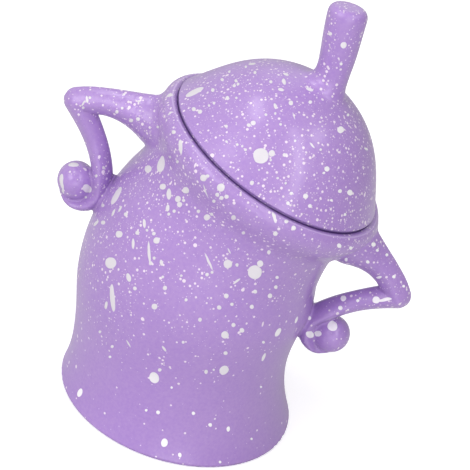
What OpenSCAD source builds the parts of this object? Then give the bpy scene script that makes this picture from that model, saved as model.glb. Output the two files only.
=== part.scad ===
// Candy jar with a leaning body, two arm handles and a domed lid.
// One cast and glazed jar, and one cast and glazed lid that rests in its mouth.
// The jar stands on Z = 0, the origin is the centre of its foot, the front faces -Y,
// and the body leans towards +X. All sizes are in millimetres and degrees.

/* [Body] */
// Outer diameter of the foot
foot_d = 109; // [90:1:130]
// Radius that rounds the foot's outer edge
foot_round = 1.6; // [1:0.2:4]
// Outer diameter of the waist above the foot
waist_d = 99; // [84:1:112]
// Height of the waist
waist_h = 31; // [24:1:40]
// Outer diameter of the belly
belly_d = 106; // [94:1:120]
// Height of the belly, measured along the centre line
belly_h = 68; // [58:1:80]
// Outer diameter of the neck below the lip
neck_d = 92.5; // [88:0.5:104]
// Place of the neck, measured along the centre line
neck_h = 113; // [104:1:118]
// Length of the centre line, from the table to the mouth
body_len = 135.5; // [130:0.5:150]
// Thickness of the cast wall
wall = 4.6; // [3:0.2:6]
// Thickness of the floor
floor_t = 5; // [3:0.5:8]
// Width of the ring that the jar stands on
foot_ring = 7; // [4:0.5:12]
// Depth of the hollow under the floor
recess_h = 2; // [1:0.5:4]

/* [Lean] */
// How far the hip is pushed to the side, away from the bend
hip_shift = 6.7; // [0:0.1:12]
// How far the neck is pushed the same way
neck_shift = 1.8; // [0:0.1:4]
// Height where the bend begins
bend_start = 54; // [40:1:60]
// Radius of the bend's centre line
bend_r = 130; // [110:1:200]
// Angle of the bend
bend = 17; // [0:1:22]

/* [Mouth] */
// Outer diameter of the flared lip
lip_d = 107.5; // [102:0.5:116]
// Radius that rounds the lip's outer edge
lip_round = 4.8; // [2:0.2:6]
// Depth of the groove in the lip round the lid's edge
groove_depth = 1.3; // [0.6:0.1:2]
// How much the groove's floor rises towards the lip's outer edge
groove_rise = 0.5; // [0.2:0.1:1]
// Height of the straight band below that rounding
lip_band = 1; // [0.5:0.5:4]
// Diameter of the round mouth
mouth_d = 82; // [74:0.5:86]
// Thickness of the ledge that the lid rests on
ledge_t = 5; // [3:0.5:8]

/* [Arms] */
// How far the pair of arms is turned back upright from the mouth's tilt
arm_turn = 1.2; // [0:0.2:4]
// How far the pair of arms is set aside from the mouth's axis, away from the bend
arm_shift = 1.5; // [0:0.1:3]
// Distance of the shoulder below the mouth
shoulder_drop = 17; // [15:0.5:24]
// Diameter of the upper arm at the shoulder
shoulder_d = 16; // [14:0.2:22]
// How much wider the arm's root spreads on the wall
shoulder_flare = 4; // [0:0.5:6]
// Distance of the elbow from the mouth's centre
elbow_out = 81.5; // [74:0.5:90]
// Distance of the elbow below the mouth
elbow_drop = 28.8; // [26:0.2:36]
// Diameter of the elbow
elbow_d = 11.8; // [10:0.2:17]
// Diameter of the forearm
forearm_d = 9.8; // [8:0.2:13]
// How far the soft ridges along an arm stand out, as a share of its radius
arm_ridge = 0.03; // [0:0.01:0.08]
// Distance of the fist below the mouth
fist_drop = 62.5; // [58:0.5:68]
// Diameter of the ball that the fist closes on
ball_d = 16.4; // [13:0.2:19]
// Thickness of the finger where it begins to curl
finger_d = 7.6; // [6:0.2:10]
// Width of the finger there, from front to back
finger_w = 14.4; // [9:0.2:16]
// Thickness of the finger's tip
tip_d = 2; // [1:0.5:5]
// Width of the finger's tip, from front to back
tip_w = 6; // [3:0.5:9]
// Angle at which the finger meets the ball
curl_from = 152; // [130:1:165]
// How far the finger turns round the ball
curl_turn = 142; // [100:2:220]
// How deep the finger is pressed into the ball
finger_nest = 0.6; // [0.2:0.1:1.5]
// How deep the fist is set into the wall
fist_bite = 1.8; // [0.6:0.2:2.4]

/* [Lid] */
// Outer diameter of the lid's edge
lid_d = 99.5; // [92:0.5:100]
// Radius that rounds the lid's lower edge
lid_round = 2.2; // [0.6:0.2:3]
// Height of the dome at the foot of the stem
dome_h = 36.5; // [28:0.5:46]
// Thickness of the lid
lid_wall = 4.4; // [3:0.2:6]
// Height of the ring that locates the lid in the mouth
ring_h = 7; // [4:0.5:12]
// Thickness of that ring
ring_t = 4; // [2.5:0.5:6]
// Clearance between that ring and the mouth, on the radius
ring_gap = 0.8; // [0.4:0.1:1.5]

/* [Stem] */
// Height of the stem's top above the mouth
stem_h = 70; // [60:0.5:80]
// How far the stem's top leans back from the lid's axis
stem_lean = 11; // [0:0.5:16]
// Diameter of the stem above its root
stem_d = 13.6; // [11:0.2:18]
// Diameter of the stem near its top
stem_top_d = 16.6; // [13:0.2:21]
// Radius that rounds the stem's top
stem_round = 3.4; // [2:0.2:6]
// How much wider the stem's root spreads on the dome
stem_flare = 3; // [0:0.5:6]

/* [Hidden] */
glaze = [0.70, 0.57, 0.83];
// Soft ridges round an arm
arm_ridges = 4;
// Sides of a ring in each lofted form
body_sides = 56;
cavity_sides = 44;
arm_sides = 18;
stem_sides = 24;
// Rings of each lofted form
body_steps = 26;
cavity_steps = 16;
arm_steps = 9;
curl_steps = 12;
stem_steps = 10;
round_steps = 3;
// Sizes that follow from the ones above
foot_r = foot_d / 2;
waist_r = waist_d / 2;
belly_r = belly_d / 2;
neck_r = neck_d / 2;
lip_r = lip_d / 2;
mouth_r = mouth_d / 2;
lid_r = lid_d / 2;
ring_r = mouth_r - ring_gap;
recess_r = foot_r - foot_round - foot_ring;
lip_low = body_len - lip_round - lip_band;
cavity_low = recess_h + floor_t;
cavity_top = body_len - ledge_t;
cavity_round = wall;
ball_r = ball_d / 2;
elbow = [elbow_out, -elbow_drop];
overshoot = 1;
tiny = 0.002;
// How steeply the hip's shift and the foot's flare set in: 1 is evenly
hip_power = 1.15;
flare_power = 2.2;
// Bends of the upper arm, as shares of its reach outwards and downwards
arch_near = [0.38, -0.1];
arch_far = [0.72, 0.06];
// Shares of a limb over which its root spreads, and of the upper arm where it runs thinner
root_share = 0.35;
taper_share = 0.62;
// Bow of the forearm: where it begins and ends, as shares of its reach, and how far it goes
bow_near = 0.25;
bow_far = 0.45;
bow = [-1, 1.4];
// Turns at which the rings lie that round off the elbow
cap_turns = [22, 44, 66, 84];
// How late the finger thins along its curl: 1 is evenly, more is later
curl_thin = 2.5;
// Bends of the stem, as shares of its height and its lean
stem_low = [0, 0.28];
stem_mid = [0.6, 0.58];
// Bends of the bell, as shares of the lid's radius and the dome's height
bell_low = [0.78, 0.385];
bell_high = [0.68, 0.84];
bell_steps = 20;

// Numbers and curves
function mix(a, b, t) = a + (b - a) * t;
function clamp(t) = min(max(t, 0), 1);
function share(p, q) = [p[0] * q[0], p[1] * q[1]];
function ease(a, b, t) = mix(a, b, (1 - cos(180 * clamp(t))) / 2);
function arc_deg(length, radius) = length / radius * 180 / PI;
function bezier(p, t) =
    p[0] * pow(1 - t, 3) + p[1] * 3 * t * pow(1 - t, 2)
    + p[2] * 3 * t * t * (1 - t) + p[3] * pow(t, 3);
function bezier_way(p, t) =
    (p[1] - p[0]) * pow(1 - t, 2) + (p[2] - p[1]) * 2 * t * (1 - t) + (p[3] - p[2]) * t * t;

// Centre line of the body in the XZ plane, and its tilt, at the length s from the table
function tilt(s) = min(arc_deg(max(s - bend_start, 0), bend_r), bend);
function spine(s) =
    s < bend_start
    ? [-hip_shift * pow(sin(90 * s / bend_start), hip_power), s]
    : let (a = tilt(s), rest = s - bend_start - bend_r * a * PI / 180)
      [-hip_shift + bend_r * (1 - cos(a)) + rest * sin(a),
       bend_start + bend_r * sin(a) + rest * cos(a)];

// Middle of a section of the body: the centre line, pushed aside round the neck
function middle(s) =
    let (push = neck_shift * (1 - cos(360 * clamp((s - belly_h) / (lip_low - belly_h)))) / 2)
    spine(s) - push * [cos(tilt(s)), -sin(tilt(s))];

// Outer radius of the body at the length s
function body_r(s) =
    s < waist_h ? mix(waist_r, foot_r, pow(1 - clamp((s - foot_round) / (waist_h - foot_round)), flare_power))
    : s < belly_h ? ease(waist_r, belly_r, (s - waist_h) / (belly_h - waist_h))
    : s < neck_h ? ease(belly_r, neck_r, (s - belly_h) / (neck_h - belly_h))
    : ease(neck_r, lip_r, (s - neck_h) / (lip_low - neck_h));

// A ring of points round the place c in the XZ plane, square to the way that leans a from +Z
function ring(c, a, r, sides) = [
    for (i = [0:sides - 1])
        let (u = 360 * i / sides)
        [c[0] + r * cos(u) * cos(a), r * sin(u), c[1] - r * cos(u) * sin(a)]
];

// A ring with soft ridges, r from its middle in the XZ plane and w along Y
function ridged_ring(c, a, r, w, ridge, sides) = [
    for (i = [0:sides - 1])
        let (u = 360 * i / sides, k = 1 + ridge * cos(arm_ridges * u))
        [c[0] + k * r * cos(u) * cos(a), k * w * sin(u), c[1] - k * r * cos(u) * sin(a)]
];

// A closed skin over a stack of rings
module loft(rings) {
    n = len(rings[0]);
    m = len(rings);
    sides = [
        for (i = [0:m - 2], j = [0:n - 1])
            let (a = i * n + j, b = i * n + (j + 1) % n)
            each [[a, a + n, b], [b, a + n, b + n]]
    ];
    bottom = [for (j = [0:n - 1]) j];
    top = [for (j = [n - 1:-1:0]) (m - 1) * n + j];
    polyhedron([for (r = rings) each r], concat(sides, [bottom, top]), convexity = 8);
}

// Body
body_stations = concat(
    [for (i = [0:round_steps - 1])
        let (u = 90 * i / round_steps)
        [foot_round * (1 - cos(u)), foot_r - foot_round * (1 - sin(u))]],
    [for (i = [0:body_steps])
        let (s = mix(foot_round, lip_low, i / body_steps))
        [s, body_r(s)]],
    [for (i = [0:round_steps])
        let (u = 90 * i / round_steps)
        [body_len - lip_round * (1 - sin(u)), lip_r - lip_round * (1 - cos(u))]]
);
cavity_stations = concat(
    [for (i = [0:round_steps - 1])
        let (u = 90 * i / round_steps, s = cavity_low + cavity_round * (1 - cos(u)))
        [s, body_r(s) - wall - cavity_round * (1 - sin(u))]],
    [for (i = [0:cavity_steps])
        let (s = mix(cavity_low + cavity_round, cavity_top, i / cavity_steps))
        [s, body_r(s) - wall]]
);

// Groove in the lip that the lid's rounded edge looks into, as [radius, height] from the mouth
groove_section = [
    [lid_r - lid_round, overshoot],
    [lid_r - lid_round, 0],
    [lid_r - lid_round / 2, -groove_depth],
    [lip_r, groove_rise - groove_depth],
    [lip_r, overshoot]
];

module body_skin(stations, sides) {
    loft([for (st = stations) ring(middle(st[0]), tilt(st[0]), st[1], sides)]);
}

// Places a child that is drawn with the mouth's centre at the origin and its axis along +Z
module on_mouth() {
    top = spine(body_len);
    translate([top[0], 0, top[1]])
        rotate([0, tilt(body_len), 0])
            children();
}

// Places a child that is drawn in the arms' frame: the mouth's, turned back and set aside
module on_shoulders() {
    on_mouth()
        rotate([0, -arm_turn, 0])
            translate([-arm_shift, 0, 0])
                children();
}

// A point of the XZ plane as it lies in the arms' frame
function in_arms(p) =
    let (d = p - spine(body_len), a = tilt(body_len) - arm_turn)
    [d[0] * cos(a) - d[1] * sin(a) + arm_shift, d[0] * sin(a) + d[1] * cos(a)];

// The wall's outer face on one side of the body, in the arms' frame: at the length s,
// and at a distance below the mouth, found in three steps
function wall_at(side, s) =
    in_arms(middle(s) + side * body_r(s) * [cos(tilt(s)), -sin(tilt(s))]);
function wall_step(side, drop, s) = s - wall_at(side, s)[1] - drop;
function wall_below(side, drop) =
    let (s = wall_step(side, drop,
             wall_step(side, drop,
             wall_step(side, drop, body_len - drop))))
    wall_at(side, s);

// Arms, with side = 1 towards the bend and -1 away from it
function flip(p, side) = [p[0] * side, p[1]];
function heading(way) = atan2(way[0], way[1]);

function upper_arm_curve(side) =
    let (root = flip(wall_below(side, shoulder_drop), side) - [wall / 2, 0],
         reach = elbow - root)
    [root, root + share(reach, arch_near), root + share(reach, arch_far), elbow];
function upper_arm_r(t) =
    mix(shoulder_d, elbow_d, clamp(t / taper_share)) / 2
    + shoulder_flare * pow(1 - clamp(t / root_share), 2);

// The fist's finger lies against the wall at its own height and thins as it curls round a ball
function fist_centre(side) =
    flip(wall_below(side, fist_drop), side) + [ball_r + finger_d - finger_nest - fist_bite, 0];
function finger_r(u) = mix(finger_d, tip_d, pow(u, curl_thin)) / 2;
function finger_side(u) = mix(finger_w, tip_w, pow(u, curl_thin)) / 2;
function curl_point(side, u) =
    let (a = curl_from + curl_turn * u)
    fist_centre(side) + (ball_r - finger_nest + finger_r(u)) * [cos(a), sin(a)];
function curl_way(side, u) =
    curl_point(side, min(u + tiny, 1)) - curl_point(side, max(u - tiny, 0));

function forearm_curve(side) =
    let (wrist = curl_point(side, 0),
         way = curl_way(side, 0),
         reach = norm(elbow - wrist))
    [elbow, mix(elbow, wrist, bow_near) + bow,
     wrist - way / norm(way) * reach * bow_far, wrist];
function forearm_r(t) =
    mix(forearm_d, finger_d, t) / 2 + (elbow_d - forearm_d) / 2 * pow(1 - clamp(2 * t), 2);
function forearm_side(t) = ease(forearm_r(t), finger_w / 2, 2 * t - 1);

function arm_ring(p, way, r, w) = ridged_ring(p, heading(way), r, w, arm_ridge, arm_sides);
function cap_ring(p, way, r, turn) =
    arm_ring(p + way / norm(way) * r * sin(turn), way, r * cos(turn), r * cos(turn));

module upper_arm(side) {
    curve = upper_arm_curve(side);
    loft(concat(
        [for (i = [0:arm_steps])
            let (t = i / arm_steps)
            arm_ring(bezier(curve, t), bezier_way(curve, t), upper_arm_r(t), upper_arm_r(t))],
        [for (turn = cap_turns)
            cap_ring(elbow, bezier_way(curve, 1), elbow_d / 2, turn)]
    ));
}

module forearm(side) {
    curve = forearm_curve(side);
    loft(concat(
        [for (i = [len(cap_turns) - 1:-1:0])
            cap_ring(elbow, bezier_way(curve, 0), elbow_d / 2, -cap_turns[i])],
        [for (i = [0:arm_steps - 1])
            let (t = i / arm_steps)
            arm_ring(bezier(curve, t), bezier_way(curve, t), forearm_r(t), forearm_side(t))],
        [for (i = [0:curl_steps])
            let (u = i / curl_steps)
            arm_ring(curl_point(side, u), curl_way(side, u), finger_r(u), finger_side(u))]
    ));
}

module arm(side) {
    fist = fist_centre(side);
    mirror([side < 0 ? 1 : 0, 0, 0]) {
        upper_arm(side);
        forearm(side);
        translate([fist[0], 0, fist[1]])
            sphere(d = ball_d, $fn = 48);
    }
}

module jar() {
    color(glaze)
    difference() {
        union() {
            body_skin(body_stations, body_sides);
            on_shoulders() {
                arm(1);
                arm(-1);
            }
        }
        body_skin(cavity_stations, cavity_sides);
        on_mouth() {
            translate([0, 0, -ledge_t - overshoot])
                cylinder(r = mouth_r, h = ledge_t + 2 * overshoot, $fn = 96);
            rotate_extrude($fn = 96)
                polygon(groove_section);
        }
        translate([0, 0, -overshoot])
            cylinder(r = recess_r, h = recess_h + overshoot, $fn = 96);
    }
}

// Bell of the lid: a curve from its edge to the foot of the stem, as [radius, height]
bell = [
    [lid_r, lid_round],
    share([lid_r, dome_h], bell_low),
    share([lid_r, dome_h], bell_high),
    [stem_d / 2, dome_h]
];
function bell_in(t) =
    let (way = bezier_way(bell, t))
    bezier(bell, t) - lid_wall * [way[1], -way[0]] / norm(way);

lid_outer = concat(
    [for (i = [0:round_steps])
        let (u = 90 * i / round_steps)
        [lid_r - lid_round * (1 - sin(u)), lid_round * (1 - cos(u))]],
    [for (i = [1:bell_steps]) bezier(bell, i / bell_steps)],
    [[0, dome_h]]
);
lid_inner = [for (i = [0:bell_steps])
    let (p = bell_in(i / bell_steps))
    if (p[1] > lid_wall && p[0] > 1) p];
lid_section = concat(
    lid_outer,
    [[0, dome_h - lid_wall]],
    [for (i = [len(lid_inner) - 1:-1:0]) lid_inner[i]],
    [[lid_inner[0][0], lid_wall],
     [ring_r - ring_t, lid_wall],
     [ring_r - ring_t, -ring_h],
     [ring_r, -ring_h],
     [ring_r, 0]]
);

// Stem: a curve in the lid's frame that leans back from its axis, with a flat rounded top
stem_curve = [
    [0, dome_h - lid_wall / 2],
    [-stem_lean * stem_low[0], mix(dome_h, stem_h, stem_low[1])],
    [-stem_lean * stem_mid[0], mix(dome_h, stem_h, stem_mid[1])],
    [-stem_lean, stem_h]
];
function stem_r(t) =
    ease(stem_d, stem_top_d, t) / 2 + stem_flare * pow(1 - clamp(t / root_share), 2);
stem_end = 1 - stem_round / norm(stem_curve[3] - stem_curve[0]);

module stem() {
    loft(concat(
        [for (i = [0:stem_steps - 1])
            let (t = stem_end * i / stem_steps)
            ring(bezier(stem_curve, t), heading(bezier_way(stem_curve, t)), stem_r(t), stem_sides)],
        [for (i = [0:round_steps + 1])
            let (u = 90 * i / (round_steps + 1),
                 t = mix(stem_end, 1, sin(u)))
            ring(bezier(stem_curve, t), heading(bezier_way(stem_curve, t)),
                 stem_r(t) - stem_round * (1 - cos(u)), stem_sides)]
    ));
}

module lid() {
    color(glaze)
    on_mouth() {
        rotate_extrude($fn = 96)
            polygon(lid_section);
        stem();
    }
}

jar();
lid();
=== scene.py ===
# Candy jar: finish and light for a leaning, lidded jar with two bent arm handles.
# The jar and the lid are cast and glazed; their fine surfaces are drawn here by formula
# and take the place of the plainer solids. The front faces -Y and the jar leans towards +X.

import math

import bmesh
import bpy
import numpy as np
from bpy.props import FloatProperty, FloatVectorProperty, PointerProperty
from mathutils import Matrix, Vector
from mathutils.bvhtree import BVHTree


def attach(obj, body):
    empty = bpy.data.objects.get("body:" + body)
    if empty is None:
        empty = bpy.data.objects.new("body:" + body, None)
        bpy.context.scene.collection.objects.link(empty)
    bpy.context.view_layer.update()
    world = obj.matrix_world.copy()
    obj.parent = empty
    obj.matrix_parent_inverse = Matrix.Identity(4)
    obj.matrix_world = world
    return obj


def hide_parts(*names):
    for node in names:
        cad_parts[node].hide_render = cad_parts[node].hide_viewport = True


bl_info = {
    "name": "Candy Jar",
    "version": (1, 0, 0),
    "blender": (4, 5, 0),
    "location": "View3D > Sidebar > Candy Jar",
    "description": "Makes a leaning glazed jar with two bent arm handles and a domed lid",
    "category": "Add Mesh",
}

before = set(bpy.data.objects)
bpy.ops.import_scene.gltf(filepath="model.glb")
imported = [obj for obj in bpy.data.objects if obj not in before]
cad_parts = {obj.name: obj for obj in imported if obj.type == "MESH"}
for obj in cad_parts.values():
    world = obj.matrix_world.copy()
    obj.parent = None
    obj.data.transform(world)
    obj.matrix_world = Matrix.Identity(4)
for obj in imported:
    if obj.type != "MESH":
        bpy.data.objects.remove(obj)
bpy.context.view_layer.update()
MM = 0.001
SPARE = 10 * MM
FAR = 1000 * MM
BODY = "root"


def length(name, description, millimetres):
    return FloatProperty(
        name=name,
        description=description,
        default=millimetres * MM,
        precision=4,
        unit="LENGTH",
    )


def angle(name, description, degrees):
    return FloatProperty(
        name=name,
        description=description,
        default=math.radians(degrees),
        unit="ROTATION",
    )


def share(name, description, value):
    return FloatProperty(name=name, description=description, default=value)


def colour(name, description, red, green, blue):
    return FloatVectorProperty(
        name=name,
        description=description,
        default=(red, green, blue),
        subtype="COLOR",
    )


class BodySettings(bpy.types.PropertyGroup):
    """Sizes of the hollow body"""

    foot_d: length("Foot", "Outer diameter of the foot", 109)
    foot_round: length("Foot rounding", "Radius of the foot's outer edge", 1.6)
    waist_d: length("Waist", "Outer diameter of the waist", 99)
    waist_h: length("Waist height", "Height of the waist", 31)
    belly_d: length("Belly", "Outer diameter of the belly", 106)
    belly_h: length("Belly height", "Place of the belly on the centre line", 68)
    neck_d: length("Neck", "Outer diameter of the neck", 92.5)
    neck_h: length("Neck height", "Place of the neck on the centre line", 113)
    body_len: length("Length", "Length of the centre line up to the mouth", 135.5)
    wall: length("Wall", "Thickness of the cast wall", 4.6)
    floor_t: length("Floor", "Thickness of the floor", 5)
    foot_ring: length("Foot ring", "Width of the ring the jar stands on", 7)
    recess_h: length("Recess", "Depth of the hollow under the floor", 2)
    hip_shift: length("Hip shift", "How far the hip is pushed to the side", 6.7)
    neck_shift: length("Neck shift", "How far the neck is pushed the same way", 0.6)
    bend_start: length("Bend start", "Height where the bend begins", 54)
    bend_r: length("Bend radius", "Radius of the bend's centre line", 130)
    bend: angle("Bend", "Angle of the bend", 17)
    lip_d: length("Lip", "Outer diameter of the flared lip", 107.5)
    lip_round: length("Lip rounding", "Radius of the lip's outer edge", 4.8)
    groove_depth: length("Groove", "Depth of the lip's groove round the lid's edge", 0.9)
    groove_rise: length("Groove rise", "Rise of that groove towards the lip's edge", 0.7)
    lip_band: length("Lip band", "Height of the band below the lip's rounding", 1)
    mouth_d: length("Mouth", "Diameter of the mouth", 82)
    ledge_t: length("Ledge", "Thickness of the ledge under the lid", 5)
    inner_round: length("Inner rounding", "Radius of the hollow's lower edge", 4.6)
    edge_soft: length("Soft edges", "Softness of the glazed inner edges", 1.2)
    groove_soft: length("Soft groove", "Softness of the lip's groove", 0.4)
    hip_power: share("Hip power", "How steeply the hip's shift sets in", 1.15)
    flare_power: share("Flare power", "How steeply the foot's flare sets in", 2.2)


class ArmSettings(bpy.types.PropertyGroup):
    """Sizes of the two arms"""

    arm_turn: angle("Turn", "Turn of the arms back from the mouth's tilt", 1.2)
    arm_shift: length("Shift", "How far the arms are set aside from the mouth's axis", 1.5)
    shoulder_drop: length("Shoulder drop", "Shoulder below the mouth", 17)
    shoulder_d: length("Shoulder", "Diameter of the arm at the shoulder", 16.8)
    shoulder_flare: length("Shoulder flare", "Spread of the arm's root", 4.0)
    elbow_out: length("Elbow reach", "Elbow from the arms' axis", 81.3)
    elbow_drop: length("Elbow drop", "Elbow below the mouth", 28.8)
    elbow_d: length("Elbow", "Diameter of the elbow", 11.8)
    forearm_d: length("Forearm", "Diameter of the forearm", 11.1)
    fist_drop: length("Fist drop", "Fist below the mouth", 62.5)
    ball_d: length("Ball", "Diameter of the ball in the fist", 16.4)
    ball_w: length("Ball width", "Width of the ball from front to back", 18)
    finger_d: length("Finger", "Thickness of the finger where it curls", 8.5)
    finger_w: length("Finger width", "Width of the finger from front to back", 15)
    tip_d: length("Finger tip", "Thickness of the finger's tip", 1.2)
    tip_w: length("Tip width", "Width of the finger's tip from front to back", 6)
    curl_from: angle("Curl start", "Angle at which the finger meets the ball", 148)
    curl_turn: angle("Curl", "How far the finger turns round the ball", 143)
    finger_nest: length("Finger nest", "How deep the finger is pressed into the ball", 0.6)
    fist_bite: length("Fist bite", "How deep the fist is set in the wall", 2.7)
    power: share("Power", "Power of the arms' section: 2 is round, less has ridges", 1.5)
    shoulder_soft: length("Soft shoulder", "Fillet between arm and body", 3.4)
    fist_soft: length("Soft fist", "Fillet between fist and body", 1.6)
    groove_soft: length("Soft groove", "Softness of the fist's groove", 2.0)


class LidSettings(bpy.types.PropertyGroup):
    """Sizes of the lid and its stem"""

    lid_d: length("Lid", "Outer diameter of the lid's edge", 98.5)
    lid_round: length("Edge rounding", "Radius of the lid's lower edge", 0.8)
    dome_h: length("Dome", "Height of the dome at the stem's foot", 36.5)
    lid_wall: length("Wall", "Thickness of the lid", 4.4)
    ring_h: length("Ring height", "Height of the locating ring", 7)
    ring_t: length("Ring", "Thickness of the locating ring", 4)
    ring_gap: length("Ring gap", "Clearance of the ring in the mouth", 0.8)
    stem_h: length("Stem height", "Stem's top above the mouth", 70)
    stem_lean: length("Stem lean", "How far the stem's top leans back", 11)
    stem_d: length("Stem", "Diameter of the stem above its root", 13.6)
    stem_top_d: length("Stem top", "Diameter of the stem near its top", 16.6)
    stem_round: length("Top rounding", "Rounding of the stem's top", 4.2)
    stem_flare: length("Stem flare", "Spread of the stem's root", 2)
    stem_soft: length("Soft root", "Fillet between stem and dome", 4)
    edge_soft: length("Soft edges", "Softness of the hollow's edge", 1.2)
    ring_soft: length("Soft ring", "Fillet between the ring and the lid", 1)


class GlazeSettings(bpy.types.PropertyGroup):
    """Colours of the glaze and the splatter, with painted shade at the seam, a painted highlight on
    the lip's ridge and painted light on the splatter
    """

    glaze: colour("Glaze", "Lilac glaze", 0.43, 0.27, 0.615)
    glaze_deep: colour("Deep glaze", "Lilac where the glaze lies thick", 0.38, 0.22, 0.60)
    # Painted shade: the seam's dark core under the lid's edge
    seam: colour("Seam", "Glaze in the shade under the lid's edge", 0.05, 0.012, 0.13)
    # Painted highlight: the pale line along the lip's ridge
    ridge: colour("Ridge", "Glaze that runs thin over the lip's ridge", 0.66, 0.50, 0.84)
    paint: colour("Splatter", "Off-white splatter", 0.73, 0.695, 0.75)
    # Painted light: whiter splatter low down and at the right, where the lamps leave it in shade
    thick: colour("Thick splatter", "Whiter drops near the foot and at the right", 0.97, 0.95, 0.98)
    mist: colour("Mist", "Thin specks that the glaze shows through", 0.86, 0.74, 0.88)
    roughness: share("Roughness", "Roughness of the satin glaze", 0.40)
    paint_roughness: share("Splatter roughness", "Roughness of the splatter", 0.50)
    coat: share("Coat", "Weight of the clear coat", 0.6)
    coat_roughness: share("Coat roughness", "Roughness of the clear coat", 0.2)
    edge: length("Splatter edge", "Softness of the splatter's edge", 0.14)
    wobble: length("Wobble", "Unevenness of a drop's outline", 0.5)
    rim: length("Rim", "Width of the darker glaze round a drop", 0.4)
    relief: length("Relief", "How far a drop stands out", 0.12)
    # Where the painted shade at the seam and the painted highlight on the lip's ridge lie, and how
    # far they reach
    seam_w: length("Seam width", "How far the seam's dark core reaches", 0.55)
    seam_drop: length("Seam drop", "How far the seam lies below the mouth", 0.75)
    shade: colour("Shade", "Glaze beside the seam", 0.13, 0.07, 0.26)
    shade_w: length("Shade width", "How far the shade beside the seam reaches", 1.7)
    ridge_out: length("Ridge place", "How far the lip's ridge lies outside the seam", 2.5)
    ridge_rise: length("Ridge rise", "How far it lies above the seam", 0.13)
    ridge_w: length("Ridge width", "How far the pale glaze on that ridge reaches", 0.5)


class StageSettings(bpy.types.PropertyGroup):
    """Camera, light and floor"""

    aim: FloatVectorProperty(
        name="Aim",
        description="Point that the camera looks at",
        default=(0.0046, 0.0, 0.0884),
        subtype="XYZ",
        unit="LENGTH",
    )
    distance: length("Distance", "Camera's distance from that point", 634.6)
    elevation: angle("Elevation", "Camera's height above the level", 28.63)
    roll: angle("Roll", "Turn of the camera about its own line of sight", 17.27)
    focal_px: share("Focal length", "Focal length in pixels of the photograph", 1450)
    floor_size: length("Floor", "Width of the floor", 8000)


SENSOR_MM = 36
PHOTO_PX = 470


# Curves and blends

def mix(a, b, t):
    return a + (b - a) * t


def ease(a, b, t):
    return mix(a, b, (1 - np.cos(math.pi * np.clip(t, 0, 1))) / 2)


def bezier(p, t):
    s = 1 - t
    return p[0] * s**3 + p[1] * (3 * t * s**2) + p[2] * (3 * t * t * s) + p[3] * t**3


def bezier_way(p, t):
    s = 1 - t
    return (p[1] - p[0]) * s**2 + (p[2] - p[1]) * (2 * t * s) + (p[3] - p[2]) * t * t


def arc(centre, radius, start, end, steps=8):
    """Points on a circle from the angle start to the angle end, in degrees"""
    turns = np.radians(np.linspace(start, end, steps + 1))
    return [(centre[0] + radius * math.cos(a), centre[1] + radius * math.sin(a)) for a in turns]


def join(a, b, soft):
    """Union of two distances with a fillet"""
    h = np.maximum(soft - np.abs(a - b), 0) / soft
    return np.minimum(a, b) - h * h * soft / 4


def cut(a, b, soft):
    """The first distance less the second, with soft edges"""
    return -join(-a, b, soft)


class Outline:
    """A closed outline in the plane of a section: distance from the axis, and height"""

    def __init__(self, points):
        self.points = np.array(points)

    def distance(self, out, up):
        """Distance to the outline, negative inside. Edges that lie on the axis don't count."""
        best = np.full(out.shape, np.inf)
        inside = np.zeros(out.shape, bool)
        for a, b in zip(self.points, np.roll(self.points, -1, axis=0)):
            way = b - a
            if a[1] != b[1]:
                crossed = (a[1] <= up) != (b[1] <= up)
                at = a[0] + (up - a[1]) * (way[0] / way[1])
                inside ^= crossed & (out < at)
            if max(a[0], b[0]) > 0 and (way**2).sum() > 0:
                t = np.clip(((out - a[0]) * way[0] + (up - a[1]) * way[1]) / (way**2).sum(), 0, 1)
                gap = (out - a[0] - t * way[0]) ** 2 + (up - a[1] - t * way[1]) ** 2
                best = np.minimum(best, gap)
        return np.sqrt(best) * np.where(inside, -1, 1)


class Chain:
    """Links along a curve in the XZ plane, wider or narrower from front to back. Their section
    is round where the power is 2, and has four ridges where it is less"""

    BLUNT = 0.25 * MM

    def __init__(self, points, radii, widths, power=2):
        self.rows = list(zip(points, radii, widths))
        self.power = power
        # Keeps the mean of the section's reach, along its ridges and between them, at the radius
        self.swell = (1 + 2 ** (0.5 - 1 / power)) / 2

    def distance(self, out, side, up):
        best = np.full(out.shape, np.inf)
        for (a, ra, wa), (b, rb, wb) in zip(self.rows, self.rows[1:]):
            way = b - a
            t = np.clip(((out - a[0]) * way[0] + (up - a[1]) * way[1]) / (way @ way), 0, 1)
            flat = np.hypot(out - a[0] - t * way[0], up - a[1] - t * way[1])
            deep = side / mix(wa, wb, t)
            if self.power == 2:
                far = np.hypot(flat, deep)
            else:
                flat = np.hypot(flat, self.BLUNT) ** self.power
                deep = np.hypot(deep, self.BLUNT) ** self.power
                far = (flat + deep) ** (1 / self.power) * self.swell
            best = np.minimum(best, far - mix(ra, rb, t))
        return best


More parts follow.
